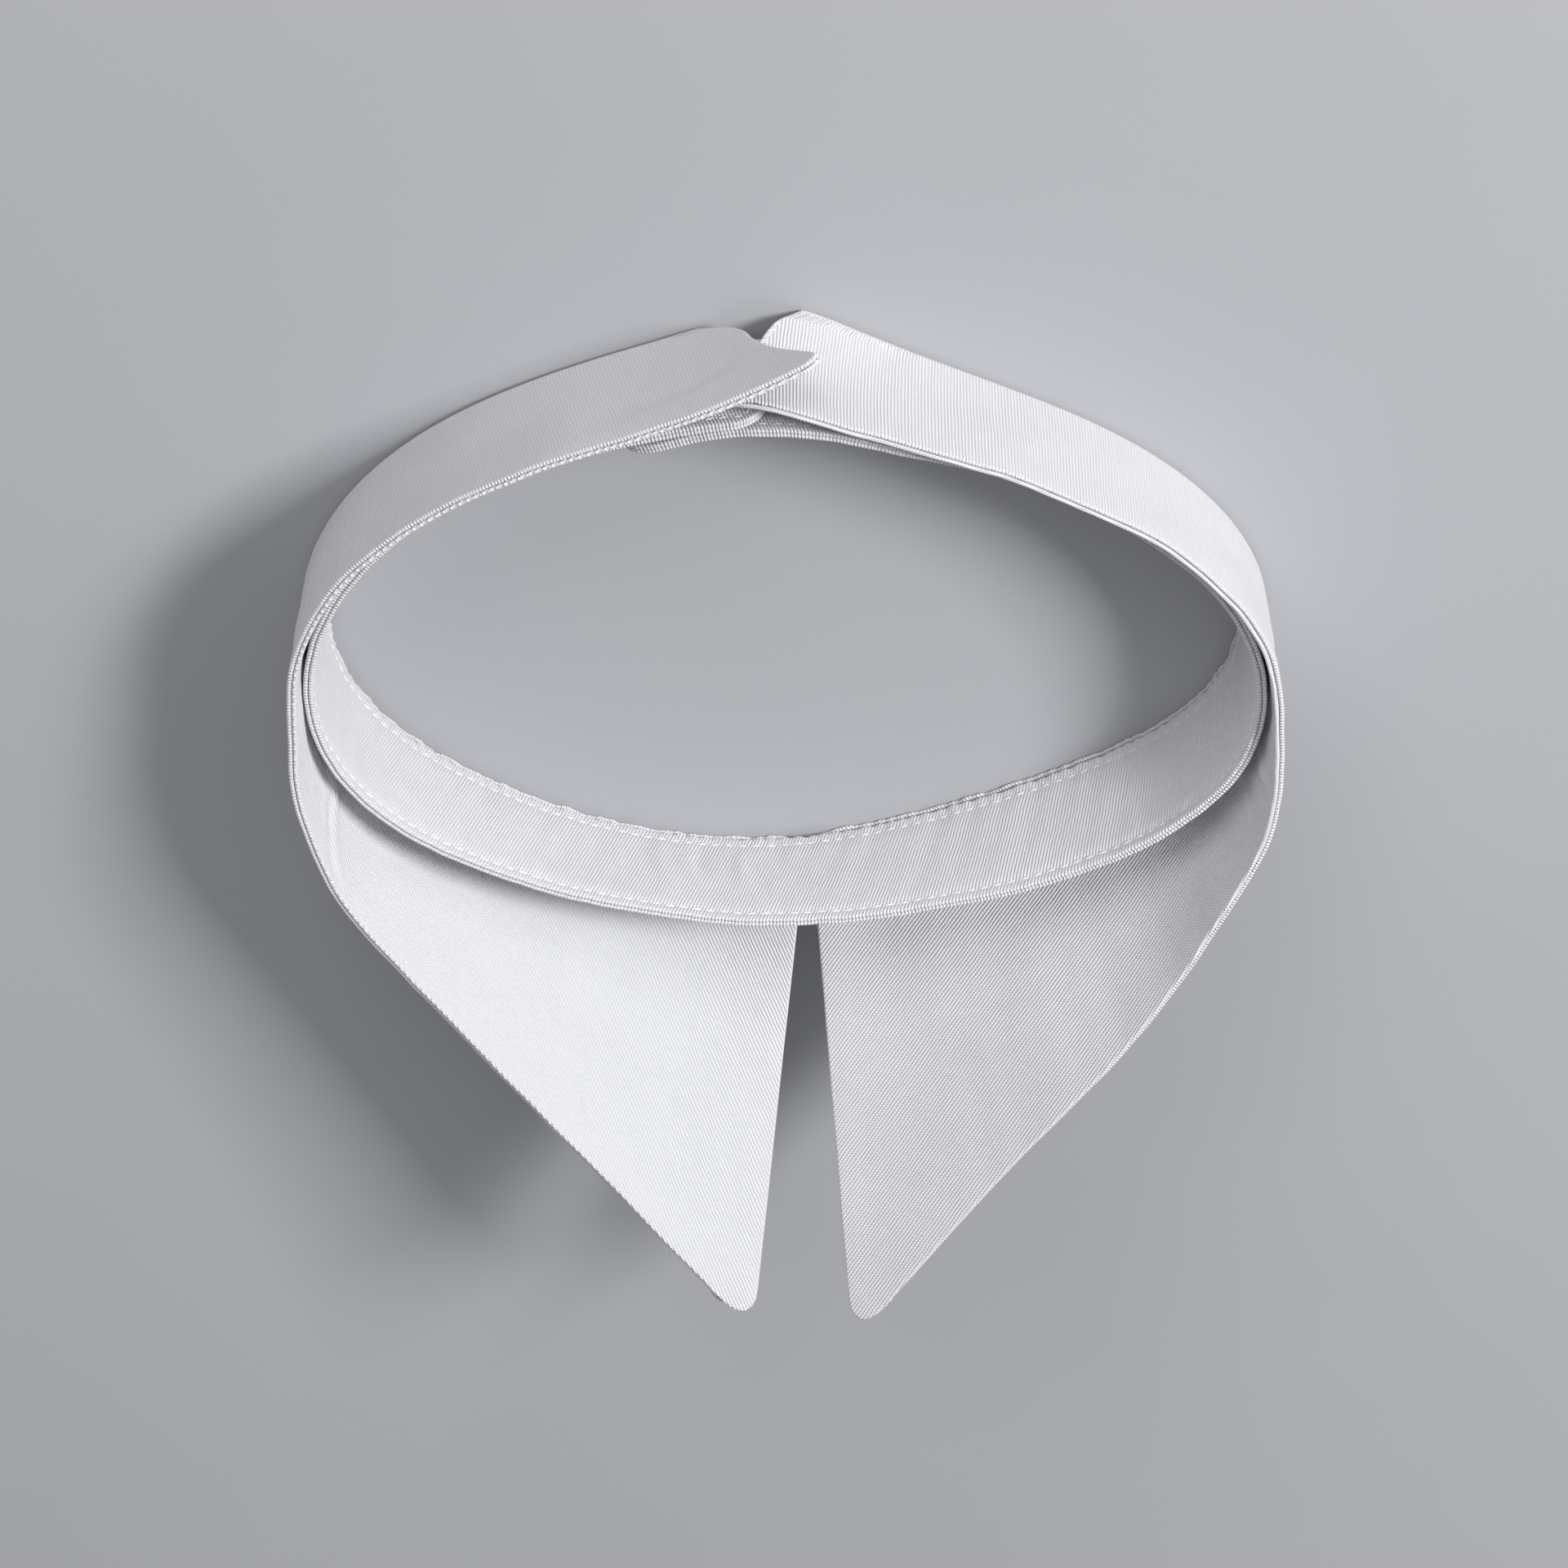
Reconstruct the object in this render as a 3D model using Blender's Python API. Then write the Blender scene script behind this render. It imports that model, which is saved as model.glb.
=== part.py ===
"""A detachable shirt collar, fastened at the centre back and stood hem up on its folded neck edge.

The neck runs round the origin. The two points of the collar reach towards -Y and its closure is at +Y.
Every cloth layer is a grid on its own middle surface, given its thickness by a Solidify modifier.
Distances along the neck start at the front, positive towards +X, and end at the centre back.
"""

import bpy
import numpy as np

MM = 0.001

# Driving dimensions, in millimetres.
LAYER = 1.0
SEAM_GAP = 0.3
PAIR_HALF = (LAYER + SEAM_GAP) / 2
STAND_BOTTOM = 1.4
LEAF_BOTTOM = 1.65
STAND_CORNER = 6.0
FOLD_REACH = 1.0
LIP_REACH = 3.5
POINT_CORNER = 4.0
BACK_CORNER = 2.6

# Where the neck's middle line starts, in plan, and which way it heads, in degrees.
FRONT_X = -0.1
FRONT_Y = -22.0
FRONT_HEADING = 5.1
NECK_REACH = 215.0
NECK_STEP = 0.5

# Where the pieces end along the neck. The leaves part at the front, near the start of the curve.
LEFT_STAND_END = -183.0
RIGHT_STAND_END = 206.0
PARTING = 3.3
PARTING_HALF_GAP = 0.5
LEFT_LEAF_LENGTH = 182.8
RIGHT_LEAF_LENGTH = 178.7

# How sharply the neck bends at each distance along it: distance, radians per metre.
NECK_BEND = (
    (-150, 7.0),
    (-115, 22.3),
    (-90, 34.4),
    (-70, 25.3),
    (-50, 10.0),
    (-25, 12.8),
    (0, 16.0),
    (25, 4.7),
    (50, 6.3),
    (70, 32.9),
    (90, 40.7),
    (115, 19.0),
    (150, 1.6),
)
# Past those, the leaf runs on nearly straight and the stand's two ends curl round to lap.
LEAF_BEND = ((-190, -5.0),) + NECK_BEND + ((170, -4.0), (182, 12.0))
STAND_BEND = (
    ((-190, 23.0), (-178, 15.0), (-166, 5.2))
    + NECK_BEND
    + ((159, 3.0), (168, 24.0), (176, 29.0), (184, 20.0), (195, 10.5), (210, 10.0))
)

# How far the stand's free edge leans outwards of its neck edge, and how high the stand is.
STAND_COLUMNS = ("along", "lean", "height")
STAND_SHAPE = (
    (-183, -2.0, 17.9),
    (-170, -1.2, 17.9),
    (-150, -0.5, 17.9),
    (-115, -0.1, 18.1),
    (-90, 0.7, 18.8),
    (-62, 1.6, 19.0),
    (-40, 0.2, 19.0),
    (-20, -0.6, 19.0),
    (0, 0.1, 19.0),
    (20, 2.0, 19.0),
    (45, 4.2, 19.0),
    (68, 2.9, 19.0),
    (90, 0.7, 18.8),
    (115, 0.1, 18.1),
    (150, -0.4, 17.9),
    (168, -1.6, 18.0),
    (180, -1.8, 17.0),
    (192, -1.5, 15.5),
    (206, -1.2, 15.0),
)

# Where each leaf's hem lies from its fold, at each distance from the parting: outwards, on towards
# the back, how far the cloth bows outwards half way up, and how high the hem is.
HEM_COLUMNS = ("along", "out", "onward", "bow", "up")
LEFT_HEM = (
    (0.5, 60.6, 16.3, 0.0, 43.0),
    (5.9, 53.6, 12.0, 0.0, 40.8),
    (12.9, 46.0, 7.2, 0.0, 38.7),
    (21.9, 37.1, 2.9, 0.0, 36.3),
    (32.2, 28.5, 0.4, 0.0, 33.7),
    (42.8, 21.6, -0.2, 0.0, 31.2),
    (53.6, 16.0, 0.5, 0.0, 29.0),
    (64.7, 11.6, 1.0, 0.0, 26.9),
    (75.9, 6.2, 1.4, 0.0, 24.9),
    (87.3, 1.9, 1.2, 0.0, 23.0),
    (102.0, 0.9, 0.6, 0.0, 22.2),
    (120.0, 0.4, 0.0, 0.0, 22.0),
    (140.0, 0.2, 0.2, 0.0, 22.0),
    (153.3, 0.2, 1.2, 0.0, 22.3),
    (163.3, 0.4, 3.8, 0.0, 22.8),
    (173.3, 1.8, 8.4, 0.0, 23.0),
    (182.8, 4.0, 15.4, 0.0, 21.8),
)
RIGHT_HEM = (
    (0.5, 64.8, -3.0, 0.0, 43.0),
    (5.5, 58.0, -4.5, 0.0, 40.8),
    (11.9, 50.7, -5.7, 0.0, 38.7),
    (20.3, 42.6, -5.5, 0.0, 36.3),
    (29.8, 35.1, -3.8, 0.0, 33.7),
    (39.6, 28.4, -2.2, 0.0, 31.2),
    (49.6, 20.7, -0.9, 0.0, 29.0),
    (59.8, 13.5, -0.9, 0.0, 26.9),
    (70.2, 7.4, -0.8, 0.0, 24.9),
    (80.7, 1.9, 0.3, 0.0, 23.2),
    (95.0, 0.8, 0.3, 0.0, 22.2),
    (112.0, 0.5, 0.0, 0.0, 22.0),
    (132.0, 0.4, 0.2, 0.0, 22.0),
    (146.7, 0.1, 1.0, 0.0, 22.0),
    (156.7, -1.0, 3.0, -0.3, 21.6),
    (167.7, -3.1, 5.4, -0.83, 20.6),
    (178.7, -7.3, 8.0, -0.95, 18.6),
)

# How far each leaf's back end is drawn in at each share of the way up.
END_COLUMNS = ("along", "inset")
RIGHT_END = ((0.0, 1.5), (0.1, 0.4), (0.3, 0.0), (1.0, 0.0))
LEFT_END = (
    (0.0, 4.0),
    (0.07, 1.9),
    (0.16, 1.3),
    (0.36, 1.8),
    (0.57, 1.7),
    (0.78, 0.8),
    (0.93, 0.1),
    (1.0, 0.0),
)

# The grids: how many columns along the neck, and the rows up each piece as shares of its height.
# The stand shares the leaves' columns, with more of its own along the lap.
LEAF_COLUMNS_ALONG = 31
LAP_COLUMNS = 6
STAND_ROWS_UP = (0.0, 0.35, 0.68, 0.84, 0.95, 1.0)
LEAF_ROWS_UP = (0.0, 0.07, 0.16, 0.36, 0.57, 0.78, 0.88, 0.93, 0.965, 0.988, 1.0)
POINT_SHARE = 0.085
BACK_SHARE = 0.15
CORNER_SPREAD = 14.0
FOLD_STEPS = 5
UP = np.array([0.0, 0.0, 1.0])

WHITE = (0.86, 0.86, 0.88, 1.0)
SHADE_WHITE = (0.80, 0.80, 0.82, 1.0)


def clear_scene():
    """Removes whatever objects the scene starts with."""
    for thing in list(bpy.data.objects):
        bpy.data.objects.remove(thing, do_unlink=True)


def smooth(table, columns, name, along):
    """A table's named column at any distance along, by cubic pieces through its rows."""
    rows = np.array(table, float)
    x, y = rows[:, columns.index("along")], rows[:, columns.index(name)]
    slope = np.gradient(y, x)
    along = np.clip(along, x[0], x[-1])
    i = np.clip(np.searchsorted(x, along, side="right") - 1, 0, len(x) - 2)
    width = x[i + 1] - x[i]
    u = (along - x[i]) / width
    start = y[i] * (1 + 2 * u) * (1 - u) ** 2 + slope[i] * width * u * (1 - u) ** 2
    end = y[i + 1] * u**2 * (3 - 2 * u) + slope[i + 1] * width * u**2 * (u - 1)
    return start + end


def neck_line(bend_table):
    """The neck's middle line in plan: its heading adds up the bend, its place adds up the heading."""
    along = np.arange(-NECK_REACH, NECK_REACH + NECK_STEP / 2, NECK_STEP)
    rows = np.array(bend_table, float)
    bend = np.interp(along, rows[:, 0], rows[:, 1]) * MM
    middle = len(along) // 2

    def add_up(rate):
        steps = (rate[1:] + rate[:-1]) / 2 * NECK_STEP
        total = np.concatenate([[0.0], np.cumsum(steps)])
        return total - total[middle]

    heading = add_up(bend) + np.radians(FRONT_HEADING)
    x = add_up(np.cos(heading)) + FRONT_X
    y = add_up(np.sin(heading)) + FRONT_Y
    return along, x, y, heading


def neck_at(line, along):
    """Points on the neck line, with the level directions outwards of it and along it."""
    distance, x, y, heading = line
    turn = np.interp(along, distance, heading)
    level = np.zeros_like(turn)
    point = np.stack([np.interp(along, distance, x), np.interp(along, distance, y), level], -1)
    outward = np.stack([np.sin(turn), -np.cos(turn), level], -1)
    onward = np.stack([np.cos(turn), np.sin(turn), level], -1)
    return point, outward, onward


def surface_normals(points):
    """The unit normal at each grid point, from the grid's own two directions."""
    across = np.gradient(points, axis=0)
    up = np.gradient(points, axis=1)
    normal = np.cross(across, up)
    return normal / np.linalg.norm(normal, axis=-1, keepdims=True)


def corner_inset(part, radius):
    """How far a rounded corner draws a row's end in, at this part of the corner's height."""
    part = np.clip(part, 0.0, 1.0)
    return radius * (1.0 - np.sqrt(1.0 - part**2))


def pulled_in(along, first, last, inset_first, inset_last, spread):
    """Distances along a row whose two ends are drawn in, easing off over the spread."""
    near_first = np.clip(1.0 - (along - first) / spread, 0.0, 1.0)
    near_last = np.clip(1.0 - (last - along) / spread, 0.0, 1.0)
    first_share, last_share = (near**2 * (3 - 2 * near) for near in (near_first, near_last))
    return along + inset_first * first_share - inset_last * last_share


def leaf_columns(length):
    """Distances of a leaf's columns from the parting."""
    return np.linspace(PARTING_HALF_GAP, length, LEAF_COLUMNS_ALONG)


def cloth(name, points, colour):
    """One layer of cloth: a grid of points on its middle surface, thickened to both sides."""
    columns, rows = points.shape[:2]
    index = np.arange(columns * rows).reshape(columns, rows)
    corners = (index[:-1, :-1], index[1:, :-1], index[1:, 1:], index[:-1, 1:])
    faces = np.stack([corner.ravel() for corner in corners], -1)
    mesh = bpy.data.meshes.new(name)
    mesh.from_pydata((points.reshape(-1, 3) * MM).tolist(), [], faces.tolist())
    mesh.update()
    piece = bpy.data.objects.new(name, mesh)
    bpy.context.collection.objects.link(piece)
    wall = piece.modifiers.new("thickness", "SOLIDIFY")
    wall.thickness = LAYER * MM
    wall.offset = 0.0
    wall.use_even_offset = True
    mesh.materials.append(material(name, colour))
    mesh.shade_smooth()
    return piece


def material(name, colour):
    """Plain matt cotton in one colour."""
    finish = bpy.data.materials.new(name + "_cotton")
    finish.use_nodes = True
    shader = finish.node_tree.nodes["Principled BSDF"]
    shader.inputs["Base Color"].default_value = colour
    shader.inputs["Roughness"].default_value = 0.9
    shader.inputs["Metallic"].default_value = 0.0
    return finish


def stand_pair():
    """The middle surface between the stand's two layers, from its left end round to its right end."""
    line = neck_line(STAND_BEND)
    left = PARTING - leaf_columns(LEFT_LEAF_LENGTH)[::-1]
    right = PARTING + leaf_columns(RIGHT_LEAF_LENGTH)
    lap = np.linspace(right[-1], RIGHT_STAND_END, LAP_COLUMNS)[1:]
    along = np.concatenate([[LEFT_STAND_END], left, right, lap])[:, None]
    up = np.array(STAND_ROWS_UP)[None, :]
    corner_share = STAND_CORNER / STAND_SHAPE[0][2]
    inset = corner_inset((up - 1.0 + corner_share) / corner_share, STAND_CORNER)
    along = pulled_in(along, LEFT_STAND_END, RIGHT_STAND_END, inset, inset, 3.0 * STAND_CORNER)
    point, outward, _ = neck_at(line, along)
    lean = smooth(STAND_SHAPE, STAND_COLUMNS, "lean", along) * up - PAIR_HALF - SEAM_GAP / 2 - LAYER / 2
    height = STAND_BOTTOM + smooth(STAND_SHAPE, STAND_COLUMNS, "height", along) * up
    return point + outward * lean[..., None] + UP * height[..., None]


def build_stand():
    """The neckband: an inner and an outer layer, a seam's gap apart."""
    pair = stand_pair()
    normal = surface_normals(pair)
    for name, side, colour in (("stand_outer", 1, SHADE_WHITE), ("stand_inner", -1, WHITE)):
        layer = pair + normal * PAIR_HALF * side
        layer[:, 0, 2] = STAND_BOTTOM
        cloth(name, layer, colour)


def leaf_pair(side, length, hem_table, end_table):
    """The middle surface between a leaf's two layers, from its fold (row 0) up to its hem.

    A line runs from each place on the fold to its place on the hem, bowed outwards in the middle.
    """
    along = leaf_columns(length)[:, None]
    up = np.array(LEAF_ROWS_UP)[None, :]
    front_hem = corner_inset((up - 1.0 + POINT_SHARE) / POINT_SHARE, POINT_CORNER)
    back_hem = corner_inset((up - 1.0 + BACK_SHARE) / BACK_SHARE, BACK_CORNER)
    back_end = back_hem + smooth(end_table, END_COLUMNS, "inset", up)
    along = pulled_in(along, PARTING_HALF_GAP, length, front_hem, back_end, CORNER_SPREAD)
    point, outward, onward = neck_at(neck_line(LEAF_BEND), PARTING + side * along)
    out, forward, bow, height = (
        smooth(hem_table, HEM_COLUMNS, name, along)[..., None] for name in ("out", "onward", "bow", "up")
    )
    fold = point + outward * (PAIR_HALF + SEAM_GAP / 2 + LAYER / 2) + UP * LEAF_BOTTOM
    hem = fold + outward * out + onward * forward * side
    hem[..., 2] = height[..., 0]
    up = up[..., None]
    return fold + (hem - fold) * up + outward * bow * 4 * up * (1 - up), outward[:, 0]


def fold_rows(fold, upper, outward):
    """The upper layer's lip: level under the stand's neck edge, then curving up to meet the leaf."""
    rise = upper[:, 1] - upper[:, 0]
    rise = rise / np.linalg.norm(rise, axis=-1, keepdims=True)
    drop = (LAYER / 2 - upper[:, 0, 2]) / rise[:, 2]
    corner = (upper[:, 0] + rise * drop[:, None])[:, None]
    start = corner - outward[:, None] * FOLD_REACH
    end = corner + rise[:, None] * FOLD_REACH
    turn = np.linspace(0.0, 1.0, FOLD_STEPS)[None, :, None]
    bend = start * (1 - turn) ** 2 + corner * 2 * turn * (1 - turn) + end * turn**2
    lip = fold[:, None] - outward[:, None] * LIP_REACH
    lip[..., 2] = LAYER / 2
    return np.concatenate([lip, bend], axis=1)


def build_leaf(side, length, hem_table, end_table, word):
    """One half of the turned-down collar: its upper layer, which wraps the fold, and its under layer."""
    pair, outward = leaf_pair(side, length, hem_table, end_table)
    normal = surface_normals(pair) * side
    cloth("leaf_under_" + word, pair - normal * PAIR_HALF, WHITE)
    upper = pair + normal * PAIR_HALF
    rows = np.concatenate([fold_rows(pair[:, 0], upper, outward), upper[:, 1:]], axis=1)
    cloth("leaf_upper_" + word, rows, SHADE_WHITE)


def main():
    clear_scene()
    build_stand()
    build_leaf(-1, LEFT_LEAF_LENGTH, LEFT_HEM, LEFT_END, "left")
    build_leaf(1, RIGHT_LEAF_LENGTH, RIGHT_HEM, RIGHT_END, "right")


main()
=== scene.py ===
"""The looks of a detachable shirt collar in white cotton twill, stood hem up on its folded neck edge.

Lengths are in millimetres until a mesh is made. A place on the cloth is told by two numbers: "along",
the distance along the neck from its front, and "up", the share of the way from neck edge to free edge.
Every layer of cloth is a closed shell: a middle surface, moved out to both sides by half a thickness
that eases to nothing round the edges, so each edge is a soft roll.
"""

import math
from collections import namedtuple

import bpy
import numpy as np
from mathutils import Matrix, Vector


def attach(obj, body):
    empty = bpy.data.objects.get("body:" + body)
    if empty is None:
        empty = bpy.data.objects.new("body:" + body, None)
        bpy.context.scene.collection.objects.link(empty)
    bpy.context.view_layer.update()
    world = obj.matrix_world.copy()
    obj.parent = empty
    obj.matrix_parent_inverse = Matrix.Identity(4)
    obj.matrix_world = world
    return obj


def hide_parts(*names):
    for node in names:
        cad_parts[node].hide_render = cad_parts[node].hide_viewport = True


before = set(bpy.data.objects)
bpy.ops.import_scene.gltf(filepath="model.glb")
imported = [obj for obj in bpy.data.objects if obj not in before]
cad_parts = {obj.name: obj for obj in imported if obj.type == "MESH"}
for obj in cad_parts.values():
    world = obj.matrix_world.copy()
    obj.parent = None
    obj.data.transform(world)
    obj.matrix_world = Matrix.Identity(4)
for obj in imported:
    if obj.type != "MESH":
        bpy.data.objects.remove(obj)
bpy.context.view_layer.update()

MM = 0.001
UP = np.array([0.0, 0.0, 1.0])

# ---------------------------------------------------------------- sizes, in millimetres
# The cloth: a layer's thickness, the gap between two, and how their sewn edges draw together and roll.
LAYER = 0.70
SEAM_GAP = 0.14
PAIR_HALF = (LAYER + SEAM_GAP) / 2
EDGE_GAP = 0.04
EDGE_DRAW = 2.2
EDGE_ROLL = 0.35

# How far the stand lies inside the neck line and the leaves outside it, and how low each one starts.
STAND_IN = 1.2
LEAF_OUT = 1.4
STAND_BOTTOM = 0.95
LEAF_BOTTOM = 1.25

# The stand's height at the front, the rounded corners, and the fold with its scalloped lip.
STAND_HEIGHT = 19.0
STAND_CORNER = 6.0
POINT_CORNER = 4.0
BACK_CORNER = 2.6
POINT_SHARE = 0.085
BACK_SHARE = 0.15
CORNER_SPREAD = 14.0
FOLD_REACH = 1.0
LIP_SCALLOP = 0.12

# The neck line: where its front is and how it heads there, and where each piece ends along it.
FRONT_X = -0.1
FRONT_Y = -22.0
FRONT_HEADING = 5.1
NECK_REACH = 215.0
NECK_STEP = 0.5
LEFT_STAND_END = -183.0
RIGHT_STAND_END = 206.0
PARTING = 3.3
PARTING_HALF_GAP = 0.5

# How close together the grids' lines are, away from the edges.
STAND_STEP_ALONG = 0.48
STAND_STEP_UP = 0.62
LEAF_STEP_ALONG = 0.52
LEAF_ROWS = 46

# How sharply the neck bends at each distance along it: distance, radians per metre.
NECK_BEND = (
    (-150, 7.0),
    (-115, 22.3),
    (-90, 34.4),
    (-70, 25.3),
    (-50, 10.0),
    (-25, 12.8),
    (0, 16.0),
    (25, 4.7),
    (50, 6.3),
    (70, 32.9),
    (90, 40.7),
    (115, 19.0),
    (150, 1.6),
)
LEAF_BEND = ((-190, -5.0),) + NECK_BEND + ((170, -4.0), (176, 22.0), (183, 60.0))
STAND_BEND = (
    ((-190, 23.0), (-178, 15.0), (-166, 5.2))
    + NECK_BEND
    + ((159, 3.0), (168, 24.0), (176, 29.0), (184, 20.0), (195, 10.5), (210, 10.0))
)

# How far the stand's free edge leans outwards of its neck edge, and how high the stand is.
STAND_COLUMNS = ("along", "lean", "height")
STAND_SHAPE = (
    (-183, -2.0, 17.9),
    (-170, -1.0, 17.5),
    (-150, 0.3, 17.2),
    (-115, 0.7, 17.4),
    (-90, 1.4, 18.8),
    (-62, 1.6, 19.0),
    (-40, 0.2, 19.0),
    (-20, -0.6, 19.0),
    (0, 0.1, 19.0),
    (20, 2.0, 19.0),
    (45, 4.2, 19.0),
    (68, 3.2, 19.0),
    (90, 1.5, 18.8),
    (115, 0.9, 17.6),
    (150, 0.2, 17.4),
    (168, -1.6, 18.0),
    (180, -1.8, 17.0),
    (192, -1.5, 15.5),
    (206, -1.2, 15.0),
)

# Where each leaf's hem lies from its fold, at each distance from the parting: outwards, on towards
# the back, how far the cloth bows outwards half way up, and how high the hem is.
HEM_COLUMNS = ("along", "out", "onward", "bow", "up")
LEFT_HEM = (
    (0.5, 60.6, 16.3, 0.0, 43.0),
    (5.9, 53.6, 12.0, 0.0, 40.8),
    (12.9, 46.0, 7.2, 0.0, 38.7),
    (21.9, 37.1, 2.9, 0.0, 36.3),
    (32.2, 28.5, 0.4, 0.0, 33.7),
    (42.8, 21.6, -0.2, 0.0, 31.2),
    (53.6, 16.0, 0.5, 0.0, 29.0),
    (64.7, 11.6, 1.0, 0.0, 26.9),
    (75.9, 6.2, 1.4, 0.0, 24.9),
    (87.3, 1.9, 1.2, 0.0, 23.0),
    (102.0, 0.9, 0.6, 0.0, 22.2),
    (120.0, 0.4, 0.0, 0.0, 22.0),
    (140.0, 0.2, 0.2, 0.0, 22.0),
    (153.3, 0.2, 1.2, 0.0, 22.3),
    (163.3, 0.4, 3.8, 0.0, 22.8),
    (173.3, 1.8, 8.4, 0.0, 23.0),
    (182.8, 4.0, 15.4, 0.0, 21.8),
)
RIGHT_HEM = (
    (0.5, 64.8, -3.0, 0.0, 43.0),
    (5.5, 58.0, -4.5, 0.0, 40.8),
    (11.9, 50.7, -5.7, 0.0, 38.7),
    (20.3, 42.6, -5.5, 0.0, 36.3),
    (29.8, 35.1, -3.8, 0.0, 33.7),
    (39.6, 28.4, -2.2, 0.0, 31.2),
    (49.6, 20.7, -0.9, 0.0, 29.0),
    (59.8, 13.5, -0.9, 0.0, 26.9),
    (70.2, 7.4, -0.8, 0.0, 24.9),
    (80.7, 1.9, 0.3, 0.0, 23.2),
    (95.0, 0.8, 0.3, 0.0, 22.2),
    (112.0, 0.5, 0.0, 0.0, 22.0),
    (132.0, 0.4, 0.2, 0.0, 22.0),
    (146.7, 0.1, 1.0, 0.0, 22.0),
    (156.7, -1.0, 3.0, -0.3, 21.6),
    (167.7, -3.1, 5.4, -0.83, 20.6),
    (178.7, -4.4, 9.0, -0.95, 18.6),
)

# How far each leaf's back end is drawn in, or let out where it is below 0. Here "along" runs up the
# end, as the share of the way from fold to hem.
END_COLUMNS = ("along", "inset")
RIGHT_END = ((0.0, 0.4), (0.05, -0.5), (0.12, -0.9), (0.25, -1.0), (0.45, -0.5), (0.7, 0.0), (1.0, 0.0))
LEFT_END = (
    (0.0, 4.0),
    (0.07, 1.9),
    (0.16, 1.3),
    (0.36, 1.8),
    (0.57, 1.7),
    (0.78, 0.8),
    (0.93, 0.1),
    (1.0, 0.0),
)

# Creases: a soft trough (depth below 0) or ridge between two places on a piece, in (along, up).
CREASE_COLUMNS = ("along_a", "up_a", "along_b", "up_b", "width", "depth")
LEFT_LEAF_CREASES = (
    (62.0, 0.30, 97.0, 0.78, 2.6, -0.55),
    (68.0, 0.22, 100.0, 0.55, 1.8, 0.32),
    (55.0, 0.45, 88.0, 0.93, 3.4, 0.40),
    (80.0, 0.30, 112.0, 0.62, 2.2, -0.26),
    (118.0, 0.55, 150.0, 0.35, 4.5, -0.22),
    (24.0, 0.25, 46.0, 0.62, 7.0, -0.35),
    (10.0, 0.55, 30.0, 0.85, 8.0, 0.25),
    (161.0, 0.66, 179.0, 0.52, 1.3, -0.42),
    (166.0, 0.74, 180.0, 0.50, 2.0, 0.24),
    (128.0, 0.25, 139.0, 0.62, 3.8, 0.20),
    (100.0, 0.40, 72.0, 0.86, 0.9, -0.50),
    (98.0, 0.50, 70.0, 0.93, 0.8, 0.34),
    (106.0, 0.25, 84.0, 0.62, 0.9, -0.42),
    (92.0, 0.47, 69.0, 0.90, 0.8, -0.44),
)
RIGHT_LEAF_CREASES = (
    (66.0, 0.25, 76.0, 0.92, 1.6, -0.30),
    (72.0, 0.20, 84.0, 0.88, 1.5, 0.28),
    (60.0, 0.30, 68.0, 0.90, 2.4, 0.26),
    (83.0, 0.28, 93.0, 0.75, 1.8, -0.24),
    (14.0, 0.45, 40.0, 0.78, 8.0, -0.40),
    (6.0, 0.20, 26.0, 0.50, 8.0, 0.28),
    (102.0, 0.30, 131.0, 0.62, 4.2, -0.20),
    (140.0, 0.62, 166.0, 0.30, 3.4, 0.20),
    (84.0, 0.20, 73.0, 0.90, 0.8, -0.40),
    (79.0, 0.25, 68.0, 0.86, 0.9, 0.20),
)
STAND_CREASES = (
    (-47.0, 0.15, -39.0, 0.85, 2.0, -0.32),
    (-31.0, 0.10, -24.0, 0.80, 1.7, 0.30),
    (-20.0, 0.10, -15.0, 0.92, 1.5, -0.38),
    (-13.5, 0.06, -9.0, 0.80, 1.3, 0.32),
    (-7.0, 0.10, -2.5, 0.90, 1.3, -0.34),
    (-1.0, 0.05, 3.5, 0.62, 1.4, 0.16),
    (-66.0, 0.10, -61.0, 0.70, 1.8, -0.34),
    (-73.0, 0.12, -70.0, 0.80, 1.4, 0.30),
    (66.0, 0.20, 70.0, 0.85, 1.7, -0.25),
    (71.5, 0.10, 74.5, 0.80, 1.5, 0.22),
    (58.0, 0.25, 60.0, 0.90, 2.6, 0.20),
    (31.0, 0.15, 38.0, 0.70, 4.0, -0.16),
    (-112.0, 0.15, -104.0, 0.80, 3.0, -0.20),
    (118.0, 0.20, 125.0, 0.75, 3.0, 0.20),
    (149.0, 0.15, 153.0, 0.75, 2.6, -0.18),
    (84.0, 0.10, 87.0, 0.80, 1.3, -0.24),
    (80.0, 0.10, 82.0, 0.75, 1.2, 0.20),
)

# A leaf: its side (-1 is left), its length along the fold, its tables, how far its lip reaches in
# under the stand, and the seed of its unevenness.
Leaf = namedtuple("Leaf", "word side length hem end creases lip_reach seed")
LEFT_LEAF = Leaf("left", -1, 182.8, LEFT_HEM, LEFT_END, LEFT_LEAF_CREASES, 3.15, 31)
RIGHT_LEAF = Leaf("right", 1, 178.7, RIGHT_HEM, RIGHT_END, RIGHT_LEAF_CREASES, 3.35, 41)

# Sewing on the stand: the stitches, the thread, and how far the rows lie in from the edges and dip.
STITCH_PITCH = 2.1
STITCH_LENGTH = 1.72
THREAD_WIDTH = 0.32
THREAD_SIDES = 7
ROW_SAMPLES = 1600
END_SAMPLES = 60
NECK_ROW_IN = 1.7
FREE_ROW_IN = 1.6
END_ROW_IN = 2.0
ROW_DIP = 0.20
ROW_DIP_WIDTH = 0.55

# The neck edge between its stitches: how far it bumps out, and how far it dips down.
PUCKER = 0.15
PUCKER_DROP = 0.12
PUCKER_FADE = 1.5

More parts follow.
